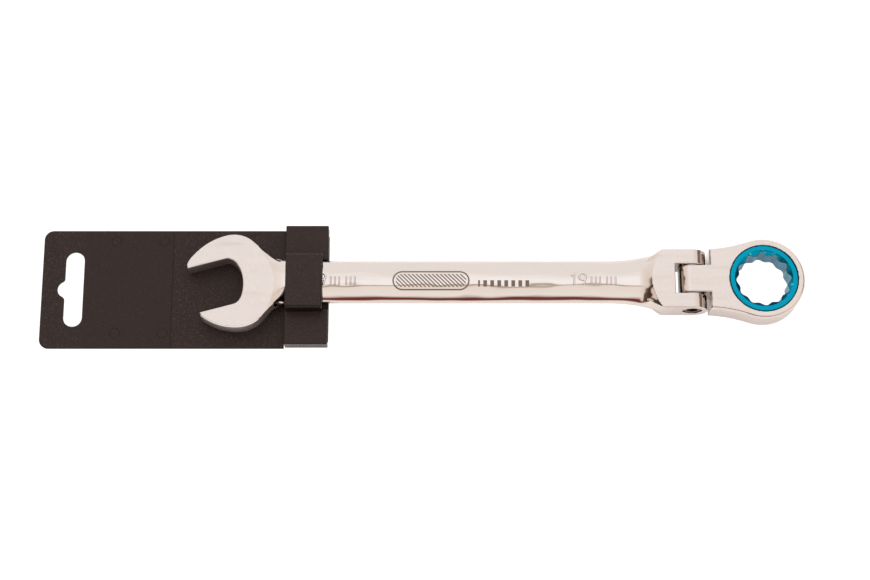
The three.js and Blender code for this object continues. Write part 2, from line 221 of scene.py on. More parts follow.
def sampled(outline, low, high, step=0.12):
    """The outline's distance on a fine grid, read back with straight blending."""
    xs = np.arange(low[0], high[0] + step, step)
    ys = np.arange(low[1], high[1] + step, step)
    table = outline.distance(xs[:, None], ys[None, :])

    def read(x, y):
        u = np.clip((x - low[0]) / step, 0, len(xs) - 1.001)
        v = np.clip((y - low[1]) / step, 0, len(ys) - 1.001)
        i, j = u.astype(int), v.astype(int)
        u, v = u - i, v - j
        near = table[i, j] * (1 - v) + table[i, j + 1] * v
        far = table[i + 1, j] * (1 - v) + table[i + 1, j + 1] * v
        return near * (1 - u) + far * u

    return read


# ------------------------------------------------------------------ meshing a field

def edge_crossings(value, cells):
    """The mean of the surface crossings on each active cell's 12 edges, in cell units."""
    total = np.zeros((len(cells), 3))
    count = np.zeros(len(cells))
    corners = [np.array([i, j, k]) for i in (0, 1) for j in (0, 1) for k in (0, 1)]
    for start in corners:
        for axis in range(3):
            if start[axis]:
                continue
            end = start + np.eye(3, dtype=int)[axis]
            a = value[tuple((cells + start).T)]
            b = value[tuple((cells + end).T)]
            cross = (a < 0) != (b < 0)
            share = np.where(cross, a / np.where(cross, a - b, 1), 0)
            point = np.tile(start.astype(float), (len(cells), 1))
            point[:, axis] += share
            total += point * cross[:, None]
            count += cross
    return total / count[:, None]


def surface_quads(inside, index):
    """One quad round each grid edge that crosses the surface."""
    quads = []
    around = {0: ((0, 1, 1), (0, 0, 1), (0, 0, 0), (0, 1, 0)),
              1: ((1, 0, 1), (1, 0, 0), (0, 0, 0), (0, 0, 1)),
              2: ((1, 1, 0), (0, 1, 0), (0, 0, 0), (1, 0, 0))}
    for axis, backs in around.items():
        step = np.eye(3, dtype=int)[axis]
        low = inside[tuple(slice(0, n - s) for n, s in zip(inside.shape, step))]
        high = inside[tuple(slice(s, n) for n, s in zip(inside.shape, step))]
        edges = np.argwhere(low != high)
        out = low[tuple(edges.T)]
        ring = np.stack([index[tuple((edges - back).T)] for back in np.array(backs)], 1)
        quads.append(np.where(out[:, None], ring, ring[:, ::-1]))
    return np.concatenate(quads)


def gradient(field, p, reach=0.02):
    slope = np.empty_like(p)
    for axis in range(3):
        step = np.zeros(3)
        step[axis] = reach
        slope[:, axis] = (field(*(p + step).T) - field(*(p - step).T)) / (2 * reach)
    return slope


def grid_line(low, high, cell, calm=None):
    """Grid places along one axis, with 1 mm steps in the calm stretch, if there is one."""
    low, high = low - 1.37 * cell, high + 1.37 * cell
    if calm is None:
        return np.arange(low, high + cell, cell)
    start, end = calm
    return np.concatenate([np.arange(low, start, cell), np.arange(start, end, 1.0),
                           np.arange(end, high + cell, cell)])


def mesh_field(field, low, high, cell, calm=None):
    """Vertices, quads and normals of the surface where the field is 0."""
    axes = [grid_line(a, b, cell, calm if axis == 0 else None)
            for axis, (a, b) in enumerate(zip(low, high))]
    counts = np.array([len(line) for line in axes])
    grid = np.meshgrid(*axes, indexing="ij", sparse=True)
    value = np.broadcast_to(field(*grid), counts)
    inside = value < 0
    some = np.zeros(counts - 1, bool)
    every = np.ones(counts - 1, bool)
    for corner in np.ndindex(2, 2, 2):
        part = inside[tuple(slice(c, n - 1 + c) for c, n in zip(corner, counts))]
        some |= part
        every &= part
    cells = np.argwhere(some & ~every)
    index = np.full(counts, -1)
    index[tuple(cells.T)] = np.arange(len(cells))
    share = edge_crossings(value, cells)
    points = np.stack([line[i] + (line[i + 1] - line[i]) * part
                       for line, i, part in zip(axes, cells.T, share.T)], 1)
    for _ in range(3):
        slope = gradient(field, points)
        size = (slope ** 2).sum(1) + 1e-9
        move = -slope * (field(*points.T) / size)[:, None]
        points += np.clip(move, -cell / 2, cell / 2)
    slope = gradient(field, points)
    normals = slope / (np.linalg.norm(slope, axis=1, keepdims=True) + 1e-9)
    return points, surface_quads(inside, index), normals


def piece(name, field, low, high, *, cell, origin, body, nodes, material, calm=None):
    """Meshes a field between two corners and puts it in the frame as a visible piece."""
    points, quads, normals = mesh_field(field, low, high, cell, calm)
    mesh = bpy.data.meshes.new(name)
    mesh.from_pydata(((points + origin) * MM).tolist(), [], quads.tolist())
    mesh.polygons.foreach_set("use_smooth", np.ones(len(quads), bool))
    mesh.normals_split_custom_set_from_vertices(normals.tolist())
    mesh.materials.append(material)
    ob = bpy.data.objects.new(name, mesh)
    bpy.context.scene.collection.objects.link(ob)
    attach(ob, body)
    if nodes:
        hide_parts(*nodes)


# ------------------------------------------------------------------ wrench body

JAW_TILT = math.radians(15)
JAW_SEAT = (PIVOT[0] - 184.5, -0.64)
UPPER = dict(side=1, x=PIVOT[0] - 180.0, y=-5.8, jaw=25.0, rear=11.8,
             hand_over=104, tip=133.3, fillet=24.0)
LOWER = dict(side=-1, x=PIVOT[0] - 181.8, y=3.1, jaw=22.8, rear=13.9,
             hand_over=-88, tip=-127.4, fillet=14.0)
JAW_REACH = 14.5                 # how far the flats run out from the seat
UPPER_TIP = (PIVOT[0] - 201.8, 5.8)
# The throat in the seat's frame: its start, and three bends that each start where the last ended.
THROAT_START = (0.6, NUT / 2)
THROAT_BENDS = [((3.2, NUT / 2), (5.2, 5.9), (5.3, 1.6)),
                ((5.32, -0.4), (5.0, -2.2), (4.5, -3.7)),
                ((3.6, -6.4), (2.2, -NUT / 2), (-1, -NUT / 2))]


def seat(x, y):
    """A point of the nut's seat, whose own X runs into the throat."""
    c, s = math.cos(JAW_TILT), math.sin(JAW_TILT)
    return JAW_SEAT[0] + x * c - y * s, JAW_SEAT[1] + x * s + y * c


def jaw_side(side, x, y, jaw, rear, hand_over, tip, fillet):
    """Where the jaw arc, the tangent rear arc and the fillet onto the shank lie."""
    turn = math.radians(hand_over)
    rear_x, rear_y = on_arc((x, y), jaw - rear, turn)
    fillet_y = side * (SHANK_HALF + fillet)
    rise = fillet_y - rear_y
    fillet_x = rear_x + math.sqrt((rear + fillet) ** 2 - rise ** 2)
    landing = math.atan2(rise, fillet_x - rear_x)
    return dict(jaw_at=(x, y), jaw=jaw, rear_at=(rear_x, rear_y), rear=rear, turn=turn,
                tip=math.radians(tip), fillet_at=(fillet_x, fillet_y), fillet=fillet,
                landing=landing, side=side, meet_x=rear_x + rear * math.cos(landing))


def edge_at(jaw, x):
    """The neck's edge, as a distance from the centre line."""
    (fx, fy), (rx, ry) = jaw["fillet_at"], jaw["rear_at"]
    side = jaw["side"]
    curve = fy - side * np.sqrt(np.maximum(jaw["fillet"] ** 2 - (x - fx) ** 2, 0))
    back = ry + side * np.sqrt(np.maximum(jaw["rear"] ** 2 - (x - rx) ** 2, 0))
    return np.where(x > fx, side * SHANK_HALF, np.where(x > jaw["meet_x"], curve, back))


def draw_throat(shape):
    """From the upper flat's end round the throat to the lower flat's end."""
    start = THROAT_START
    shape.line(seat(-JAW_REACH, NUT / 2), seat(*start))
    for bend in THROAT_BENDS:
        shape.bend(*(seat(*point) for point in (start, *bend)))
        start = bend[-1]
    shape.line(seat(*start), seat(-JAW_REACH, -NUT / 2))


def draw_upper_tip(shape, start):
    """The rounded tip of the upper jaw, back to the upper flat's end."""
    leave = (start[0] - 2.4, start[1] - 2.26)
    arrive = (UPPER_TIP[0] + 0.3, UPPER_TIP[1] + 2.1)
    shape.bend(start, leave, arrive, UPPER_TIP)
    shape.line(UPPER_TIP, seat(-JAW_REACH - 0.5, NUT / 2), seat(-JAW_REACH, NUT / 2))


def jaw_outline(up, low):
    shape = Outline()
    draw_throat(shape)
    shape.line(seat(-JAW_REACH, -NUT / 2), on_arc(low["jaw_at"], low["jaw"], low["tip"]))
    shape.arc(low["jaw_at"], low["jaw"], low["tip"], low["turn"])
    shape.arc(low["rear_at"], low["rear"], low["turn"], low["landing"])
    shape.arc(low["fillet_at"], low["fillet"], low["landing"] + math.pi, math.pi / 2)
    shape.line((low["fillet_at"][0], -SHANK_HALF), (JAW_RIGHT, -SHANK_HALF),
               (JAW_RIGHT, SHANK_HALF), (up["fillet_at"][0], SHANK_HALF))
    shape.arc(up["fillet_at"], up["fillet"], 1.5 * math.pi, up["landing"] + math.pi)
    shape.arc(up["rear_at"], up["rear"], up["landing"], up["turn"])
    shape.arc(up["jaw_at"], up["jaw"], up["turn"], up["tip"])
    draw_upper_tip(shape, on_arc(up["jaw_at"], up["jaw"], up["tip"]))
    return shape


UP = jaw_side(**UPPER)
LOW = jaw_side(**LOWER)
JAW_RIGHT = UP["fillet_at"][0] + 2
EVEN_START = UP["fillet_at"][0] + 3     # from here to the flare the shank hardly changes
jaw_distance = sampled(jaw_outline(UP, LOW), (BODY_LOW[0] - 3, -24), (JAW_RIGHT + 3, 24))


def blend(share, a, b):
    """From field a, where the share is 0, to field b, where it is 1."""
    return a + (b - a) * share


# The flat jaw faces reach to a round edge, and everywhere left of a line.
JAW_FACE_X = PIVOT[0] - 187.1
JAW_FACE_Y = -1.9
JAW_FACE_EDGE = 20.2
JAW_FACE_LINE = PIVOT[0] - 174.1
JAW_END = PIVOT[0] - 165         # nothing of the jaws lies right of this
# How far each flat face's fall to the shank runs. The clevis's runs further at its flanks.
JAW_FALL = 6.5
CLEVIS_FALL = 5.5
FLANK_FALL = 4.5
# The shallow hollow in the neck.
HOLLOW_X = PIVOT[0] - 162.6
HOLLOW_LENGTH = 5
HOLLOW_DEPTH = 0.25


def beyond_jaw_face(x, y):
    """How far a place lies outside the round edge of the flat jaw faces."""
    disc = np.hypot(x - JAW_FACE_X, y - JAW_FACE_Y) - JAW_FACE_EDGE
    return either(disc, x - JAW_FACE_LINE, 2.5)


def open_end(x, y, z):
    return both(jaw_distance(x, y), np.abs(z) - JAW_THICK, 0.45)


def flare(x):
    """The shank's half width as it flares into the clevis, with a soft corner where they meet."""
    run = np.clip(x - FLARE_START, 0, 24)
    curve = SHANK_HALF + FLARE_RADIUS - np.sqrt(FLARE_RADIUS ** 2 - run ** 2)
    near = np.maximum(FLARE_SOFT - np.abs(curve - CLEVIS_HALF), 0)
    return np.minimum(curve, CLEVIS_HALF) - near ** 2 / (4 * FLARE_SOFT)


def shank(x, y, z):
    """The oval part, from inside the open end to inside the clevis."""
    left_half = x < 0
    top = np.where(left_half, edge_at(UP, x), flare(x))
    bottom = np.where(left_half, edge_at(LOW, x), -flare(x))
    hollow = HOLLOW_DEPTH * np.exp(-((x - HOLLOW_X) / HOLLOW_LENGTH) ** 2)
    thick = SHANK_THICK + 0.5 * smooth((x - FLARE_START) / 18) - hollow
    return oval(y - (top + bottom) / 2, z, (top - bottom) / 2, thick)


def clevis(x, y, z):
    ear = np.where(x > PIVOT[0], np.hypot(x - PIVOT[0], z), np.abs(z)) - HEAD_THICK
    return both(np.abs(y) - flare(x), ear, 0.3)


def forging(x, y, z):
    """The open end, shank and clevis, which pass into each other past the faces' round edges."""
    jaw_share = np.clip(1 - beyond_jaw_face(x, y) / JAW_FALL, 0, 1) ** 2
    clevis_out = np.hypot(x - FACE_CENTRE, y) - FACE_EDGE
    fall = CLEVIS_FALL + FLANK_FALL * smooth((np.abs(y) - 7) / 3.5)
    clevis_share = np.where(x > FACE_CENTRE, 1, np.clip(1 - clevis_out / fall, 0, 1) ** 2)
    solid = blend(jaw_share, shank(x, y, z), open_end(x, y, z))
    return blend(clevis_share, solid, clevis(x, y, z))


MARK_LEFTS = (PIVOT[0] - 152.4, PIVOT[0] - 48.4)
MARK_Y = 0.4
MARK_HEIGHT = 0.42
MARK_LINE = 0.4                  # half width of the numerals' lines
MARK_FOOT = -2.35
MARK_TOP = 2.35
STROKE_LINE = 0.34               # half width of the plain strokes
STROKE_TOP = 0.8
STROKE_LEFTS = (8.2, 9.9, 11.6, 14.4, 16.1, 17.8)


def size_mark(u, v):
    """The numerals 19 and two sets of plain strokes, 5.5 mm tall."""
    stem = segment(u, v, (1.3, MARK_FOOT), (1.3, MARK_TOP))
    flag = segment(u, v, (1.3, MARK_TOP), (0.4, 1.4))
    loop = np.abs(np.hypot(u - 4.7, (v - 0.95) * 0.95) - 1.35)
    tail = segment(u, v, (6.05, 0.95), (5.3, MARK_FOOT))
    numerals = any_of(stem, flag, loop, tail) - MARK_LINE
    strokes = [segment(u, v, (left, MARK_FOOT), (left, STROKE_TOP)) for left in STROKE_LEFTS]
    return any_of(numerals, any_of(*strokes) - STROKE_LINE)


def raised_mark(x, y, z):
    """About a mark's left end: a thin skin that stands proud of the shank where the mark is."""
    skin = oval(y + MARK_Y, z, SHANK_HALF, SHANK_THICK)
    solid = both(size_mark(x, y), skin - MARK_HEIGHT, 0.3)
    return all_of(solid, -skin - 0.4, -z)


def wrench_body(x, y, z):
    solid = forging(x, y, z)
    slot = np.maximum(np.abs(y) - SLOT_HALF, SLOT_FLOOR - x)
    solid = without(solid, slot, 0.25)
    around = np.hypot(x - PIVOT[0], z)
    solid = without(solid, around - SCREW_SHAFT - GAP, 0.15)
    recess = np.maximum(around - SCREW_HEAD - GAP, y + SCREW_END - SCREW_HEAD_DEPTH - GAP)
    return without(solid, recess, 0.3)


# ------------------------------------------------------------------ pivot screw

def pivot_screw(x, y, z):
    """About the pivot. The head is at the front, low Y."""
    socket_across = 4.0
    socket_floor = 2 - SCREW_END
    around = np.hypot(x, z)
    head = both(around - SCREW_HEAD, slab(y, -SCREW_END, SCREW_HEAD_DEPTH - SCREW_END), 0.35)
    shaft = both(around - SCREW_SHAFT, slab(y, socket_floor, SCREW_END), 0.3)
    socket = np.maximum(hexagon(x, z, socket_across), y - socket_floor)
    return without(np.minimum(head, shaft), socket, 0.2)


# ------------------------------------------------------------------ ratchet head

def head_outline():
    radius = 16.4
    shoulder, half = -21.6, 12.45
    meet = math.radians(107)
    meet_x, meet_y = on_arc((0, 0), radius, meet)
    shape = Outline()
    shape.line((shoulder, half), (shoulder, -half))
    shape.bend((shoulder, -half), (-15, -12.7), (-10.5, -14), (meet_x, -meet_y))
    shape.arc((0, 0), radius, -meet, meet)
    shape.bend((meet_x, meet_y), (-10.5, 14), (-15, 12.7), (shoulder, half))
    return shape


head_distance = sampled(head_outline(), (-24, -19), (19, 19))


def tongue(x, y, z):
    end, root = -33.45, -19
    corner, half = 4.4, 5.52
    side = both(end - x, np.abs(z) - HEAD_THICK, corner)
    side = np.maximum(side, x - root)
    return both(side, np.abs(y) - half, 0.35)


def ratchet_pockets(x, y, z):
    """The retaining ring's groove, the pawl's pocket and the spring's hole."""
    groove = np.maximum(np.hypot(x, y) - 14.4, np.abs(z - GROOVE_LEVEL) - 0.6)
    pocket = all_of(slab(x, -19, -10), np.abs(y) - 4.9, np.abs(z) - 3)
    hole = np.maximum(np.hypot(y, z) - 1.4, slab(x, -24, -18))
    return any_of(groove, pocket, hole)


def ratchet_head(x, y, z):
    """About the ring's centre, with the pockets that hold the ratchet parts."""
    chamfer_depth = 0.75
    outline = head_distance(x, y)
    cover = np.abs(z) - HEAD_THICK
    chamfer = (outline + cover + chamfer_depth) * math.sqrt(0.5)
    ring = both(both(outline, cover, 0.1), chamfer, 0.2)
    shell = np.minimum(ring, tongue(x, y, z))
    shell = without(shell, np.hypot(x, y) - GEAR_RADIUS - 0.25, 0.15)
    pivot = np.hypot(x - PIVOT[0] + RING[0], z) - SCREW_SHAFT - GAP
    shell = without(shell, pivot, 0.15)
    return np.maximum(shell, -ratchet_pockets(x, y, z))


# ------------------------------------------------------------------ ratchet gear

TEETH = 72
TOOTH_DEPTH = 0.6
TOOTH_BAND = 2.8                 # half height of the toothed band
MOUTH = 11.6                     # radius of the lead-in at the gear's face
# The 12 rounded points run between a hexagon's corners and the crossings of two hexagons.
BORE_MEAN = NUT / 4 * (1 / math.cos(math.pi / 6) + 1 / math.cos(math.pi / 12))
BORE_WAVE = NUT / 4 * (1 / math.cos(math.pi / 6) - 1 / math.cos(math.pi / 12))


def ratchet_gear(x, y, z):
    radius = np.hypot(x, y)
    turn = np.arctan2(y, x)
    wave = np.abs(((turn * TEETH / (2 * math.pi)) % 1) * 2 - 1)
    toothed = np.abs(z) < TOOTH_BAND
    rim = np.where(toothed, GEAR_RADIUS - TOOTH_DEPTH * (1 - wave), GEAR_RADIUS)
    body = both(radius - rim, np.abs(z) - GEAR_THICK, 0.3)
    groove = np.maximum(GEAR_RADIUS - TOOTH_DEPTH - radius, np.abs(z - GROOVE_LEVEL) - 0.5)
    points = radius - BORE_MEAN - BORE_WAVE * np.cos(12 * (turn - BORE_TURN))
    body = without(np.maximum(body, -groove), points, 0.12)
    mouth = (MOUTH - GEAR_THICK + np.abs(z) - radius) * math.sqrt(0.5)
    return both(body, mouth, 0.15)


# ------------------------------------------------------------------ pawl spring

SPRING_WIRE = 0.16               # half thickness
SPRING_RADIUS = 0.86
SPRING_TURNS = 5


def coil_mesh(name, length):
    """A round wire wound along X, starting at the origin."""
    mesh = bpy.data.meshes.new(name)
    steps = SPRING_TURNS * 32
    sides = 12
    points = []
    for i in range(steps + 1):
        turn = 2 * math.pi * SPRING_TURNS * i / steps
        out = Vector((0, math.cos(turn), math.sin(turn)))
        for k in range(sides):
            around = 2 * math.pi * k / sides
            middle = SPRING_RADIUS + SPRING_WIRE * math.cos(around)
            along = length * i / steps + SPRING_WIRE * math.sin(around)
            points.append((out * middle + Vector((along, 0, 0))) * MM)
    quads = []
    for i in range(steps):
        for k in range(sides):
            a, b = i * sides + k, i * sides + (k + 1) % sides
            quads.append((a, a + sides, b + sides, b))
    last = steps * sides
    ends = [tuple(range(sides)), tuple(last + k for k in reversed(range(sides)))]
    mesh.from_pydata([tuple(p) for p in points], [], quads + ends)
    mesh.polygons.foreach_set("use_smooth", [True] * len(quads) + [False, False])
    return mesh


def coil_spring(material):
    """The pawl's spring, as one fixed coil that does not shorten as the pawl backs off."""
    length = SPRING_HIGH[0] - SPRING_LOW[0] - 2 * SPRING_WIRE
    ob = bpy.data.objects.new("pawl_coil_spring", coil_mesh("pawl_coil_spring", length))
    ob.data.materials.append(material)
    ob.location = Vector((SPRING_LOW[0] + SPRING_WIRE, AXIS[1], AXIS[2])) * MM
    bpy.context.scene.collection.objects.link(ob)
    bpy.context.view_layer.update()
    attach(ob, "head")
    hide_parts("pawl_spring")
    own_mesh(ob)


# ------------------------------------------------------------------ hanger

def hanger_plate(x, y, z):
    """About the plate's own middle line, with X and Z as in the frame."""
    half = (PLATE_HIGH[1] - PLATE_LOW[1]) / 2
    corner = peg_radius = 3.75
    peg_x, peg_run = PLATE_LOW[0] + 12.95, 11.85
    notch_x, notch_radius = peg_x - 3.25, 3.4
    outline = both(PLATE_LOW[0] - x, np.abs(y) - half, corner)
    outline = np.maximum(outline, x - PLATE_HIGH[0])
    slot = np.hypot(x - peg_x, np.maximum(np.abs(y) - peg_run, 0)) - peg_radius
    notch = np.hypot(x - notch_x, y) - notch_radius
    outline = without(outline, either(slot, notch, 1.0), 0.05)
    # Under the clip the plate is narrower, and thinner along both edges.
    under_clip = CLIP_LOW[0] - GAP - x
    outline = np.maximum(outline, -np.maximum(under_clip, half - 2.4 - np.abs(y)))
    plate = both(outline, slab(z, PLATE_LOW[2], PLATE_HIGH[2]), 0.3)
    rebate = all_of(under_clip, half - 6.6 - np.abs(y), z - 0.9)
    return np.maximum(plate, -rebate)


def hanger_clip(x, y, z):
    """About the clip's own middle line: flanges, side walls, lips and a hump."""
    outer = (CLIP_HIGH[1] - CLIP_LOW[1]) / 2
    inner = outer - 1.5
    flange_top, flange_floor = 6.0, 4.4
    low, high = CLIP_LOW[0], CLIP_HIGH[0]
    across = np.abs(y)
    saddle = both(across - outer, slab(z, CLIP_LOW[2], flange_top), 0.5)
    saddle = np.maximum(saddle, -both(across - inner, z - flange_floor, 0.4))
    lips = np.maximum(slab(across, inner - 3.5, outer), slab(z, CLIP_LOW[2], 0.6))
    saddle = np.minimum(saddle, lips)
    saddle = both(saddle, slab(x, low, high), 0.35)
    hump_half, tunnel_half, tunnel_top = 11.45, 10.25, 11.0
    hump = both(across - hump_half, z - CLIP_HIGH[2], 1.4)
    hump = both(hump, slab(x, low + 0.5, high - 2.1), 0.6)
    hump = np.maximum(hump, flange_floor - z)
    clip = either(saddle, hump, 0.25)
    tunnel = both(across - tunnel_half, z - tunnel_top, 0.6)
    return without(clip, tunnel, 0.15)


# ------------------------------------------------------------------ materials

class Tree:
    """A short way to write a node tree."""

    def __init__(self, tree):
        self.tree = tree

    def add(self, kind, **values):
        node = self.tree.nodes.new(kind)
        for key, value in values.items():
            setattr(node, key, value)
        return node

    def link(self, source, target):
        self.tree.links.new(source, target)

    def feed(self, socket, value):
        if isinstance(value, bpy.types.NodeSocket):
            self.link(value, socket)
        else:
            socket.default_value = value

    def math(self, operation, a, b=0.0, c=0.5, clamp=False):
        node = self.add("ShaderNodeMath", operation=operation, use_clamp=clamp)
        for socket, value in zip(node.inputs, (a, b, c)):
            self.feed(socket, value)
        return node.outputs[0]

    def plus(self, a, b):
        return self.math("ADD", a, b)

    def minus(self, a, b):
        return self.math("SUBTRACT", a, b)

    def times(self, a, b):
        return self.math("MULTIPLY", a, b)

    def size(self, a):
        return self.math("ABSOLUTE", a)

    def most(self, a, b):
        return self.math("MAXIMUM", a, b)

    def under(self, a, b):
        """1 where a is less than b, and 0 elsewhere."""
        return self.math("LESS_THAN", a, b)

    def over(self, a, b):
        return self.math("GREATER_THAN", a, b)

    def past(self, value, place):
        """How far a coordinate lies past a place in millimetres."""
        return self.minus(value, float(place) * MM)

    def length(self, a, b):
        """The length of a step a one way and b across."""
        return self.math("SQRT", self.plus(self.times(a, a), self.times(b, b)))

    def span(self, value, low, high, to_low=0.0, to_high=1.0):
        node = self.add("ShaderNodeMapRange")
        names = ("Value", "From Min", "From Max", "To Min", "To Max")
        for key, number in zip(names, (value, low, high, to_low, to_high)):
            self.feed(node.inputs[key], number)
        return node.outputs[0]

    def mix(self, share, a, b):
        node = self.add("ShaderNodeMix", data_type="RGBA")
        self.feed(node.inputs["Factor"], share)
        for socket, value in ((node.inputs["A"], a), (node.inputs["B"], b)):
            self.feed(socket, value if isinstance(value, bpy.types.NodeSocket) else (*value, 1))
        return node.outputs["Result"]

    def split(self, vector):
        node = self.add("ShaderNodeSeparateXYZ")
        self.link(vector, node.inputs[0])
        return node.outputs


class Nodes(Tree):
    """A new material's node tree, with one Principled shader."""

    def __init__(self, name):
        self.material = bpy.data.materials.new(name)
        self.material.use_nodes = True
        super().__init__(self.material.node_tree)
        self.tree.nodes.clear()
        self.shader = self.add("ShaderNodeBsdfPrincipled")
        out = self.add("ShaderNodeOutputMaterial")
        self.link(self.shader.outputs[0], out.inputs["Surface"])
        self.place = self.add("ShaderNodeTexCoord").outputs["Object"]

    def noise(self, scale, detail=3.0, roughness=0.5, stretch=None):
        place = self.place
        if stretch:
            mapping = self.add("ShaderNodeMapping")
            mapping.inputs["Scale"].default_value = stretch
            self.link(place, mapping.inputs["Vector"])
            place = mapping.outputs[0]
        node = self.add("ShaderNodeTexNoise")
        self.link(place, node.inputs["Vector"])
        node.inputs["Scale"].default_value = scale
        node.inputs["Detail"].default_value = detail
        node.inputs["Roughness"].default_value = roughness
        return node.outputs["Fac"]

    def xyz(self):
        return self.split(self.place)

    def facing(self, kind):
        """The direction of the surface, smoothed or true."""
        return self.split(self.add("ShaderNodeNewGeometry").outputs[kind])

    def bump(self, height, distance, strength=1.0, below=None):
        node = self.add("ShaderNodeBump")
        node.inputs["Strength"].default_value = strength
        node.inputs["Distance"].default_value = distance
        self.link(height, node.inputs["Height"])
        if below:
            self.link(below, node.inputs["Normal"])
        return node.outputs[0]

    def set(self, **values):
        for key, value in values.items():
            socket = self.shader.inputs[key.replace("_", " ")]
            self.feed(socket, (*value, 1) if isinstance(value, tuple) else value)


def chrome(n, satin, wall=0.0, edge=0.0):
    """Bright chrome, satin where it is ground, with rougher walls that carry painted dark
    speckles and edges that carry a painted highlight.
    """
    cloud = n.noise(120, 2)
    grain = n.noise(2600, 2, stretch=(1, 0.25, 1))
    polished = n.mix(cloud, (0.645, 0.592, 0.56), (0.675, 0.62, 0.59))
    ground = n.mix(cloud, (0.65, 0.60, 0.58), (0.68, 0.63, 0.60))
    color = n.mix(satin, polished, ground)
    # On the walls the colour is darkened in grain speckles: a painted reflection of the speckled
    # plate, on a rougher wall finish.
    dull_and_painted_reflection = n.times(wall, n.span(grain, 0.4, 0.62, 0.75, 0))
    color = n.mix(dull_and_painted_reflection, color, (0.3, 0.3, 0.31))
    # Painted highlight: along the edges the colour is raised to near white.
    color = n.mix(edge, color, (0.97, 0.97, 0.98))
    rough = n.span(satin, 0, 1, 0.07, n.span(grain, 0.3, 0.7, 0.27, 0.36))
    rough = n.plus(rough, n.times(wall, 0.14))
    waves = n.noise(170, 1, stretch=(0.3, 1, 1))
    pits = n.times(grain, n.plus(satin, n.times(wall, 12.0)))
    normal = n.bump(pits, 0.00001, 0.6, n.bump(waves, 0.0009, 0.6))
    n.set(Base_Color=color, Metallic=1.0, Roughness=rough, Normal=normal)
    return color, rough


def beyond_level(n, z, height):
    """Where a place is further from the wrench's mid-plane than this."""
    return n.over(n.size(n.past(z, AXIS[2])), height * MM)


def head_chrome():
    n = Nodes("chrome_head")
    chrome(n, beyond_level(n, n.xyz()["Z"], HEAD_THICK - 0.03))
    return n.material


def handle_faces(n, x, y, z):
    """Where the clevis's and the jaws' flat ground faces are, up to their round edges."""
    across = n.past(y, AXIS[1])
    left = n.math("MINIMUM", n.past(x, FACE_CENTRE), 0.0)
    clevis = n.under(n.length(left, across), FACE_EDGE * MM)
    clevis = n.times(clevis, beyond_level(n, z, HEAD_THICK - 0.15))
    from_centre = n.length(n.past(x, JAW_FACE_X), n.past(across, JAW_FACE_Y))
    disc = n.minus(from_centre, JAW_FACE_EDGE * MM)
    jaw = n.under(n.math("SMOOTH_MIN", disc, n.past(x, JAW_FACE_LINE), 3 * MM), 0.0)
    jaw = n.times(jaw, beyond_level(n, z, JAW_THICK - 0.15))
    return n.most(clevis, jaw)


def etched_marks(n, x, y, z):
    """Where the shank's plain etching is: a round-ended frame with hatching, then dashes."""
    u = n.past(x, PIVOT[0] - 104.2)
    v = n.past(y, AXIS[1] - 0.3)
    straight_half, end_radius, line_half = 11.4 * MM, 3.7 * MM, 0.3 * MM
    away = n.length(n.most(n.minus(n.size(u), straight_half), 0.0), v)
    frame_line = n.under(n.size(n.minus(away, end_radius)), line_half)
    hatch = n.under(n.math("PINGPONG", n.plus(u, v), 0.8 * MM), 0.34 * MM)
    hatch = n.times(n.under(away, 2.7 * MM), hatch)
    dash_half, half_period, row_length = 0.75 * MM, 1.4 * MM, 21.6 * MM
    along = n.past(u, 18.8)
    row = n.under(n.math("PINGPONG", along, half_period), dash_half)
    row = n.times(row, n.times(n.over(along, 0.0), n.under(along, row_length)))
    row = n.times(row, n.under(n.size(n.past(v, -1.2)), 1.3 * MM))
    mark = n.most(frame_line, n.most(hatch, row))
    return n.times(mark, n.over(z, float(AXIS[2] + 1) * MM))


def handle_chrome():
    """The handle's chrome, with ground faces, rougher jaw walls with painted dark speckles,
    painted highlights on the jaw edges, and the shank's etching.
    """
    n = Nodes("chrome_handle")
    x, y, z = n.xyz()
    facing = n.facing("Normal")
    at_jaw = n.under(x, float(JAW_END) * MM)
    # The jaw walls: rougher, and painted with dark speckles as a painted reflection of the plate.
    wall = n.times(at_jaw, n.under(n.size(facing["Z"]), 0.3))
    # The jaw faces' lower edges, which chrome() paints near white as a painted highlight.
    edge = n.times(at_jaw, beyond_level(n, z, JAW_THICK - 0.42))
    edge = n.times(edge, n.span(facing["Y"], -0.5, -0.2, 1, 0))
    satin = n.most(handle_faces(n, x, y, z), wall)
    color, rough = chrome(n, satin, wall, edge)
    mark = etched_marks(n, x, y, z)
    n.set(Base_Color=n.mix(mark, color, (0.19, 0.14, 0.115)))
    n.set(Roughness=n.math("ADD", rough, n.times(mark, 0.35), clamp=True))
    return n.material


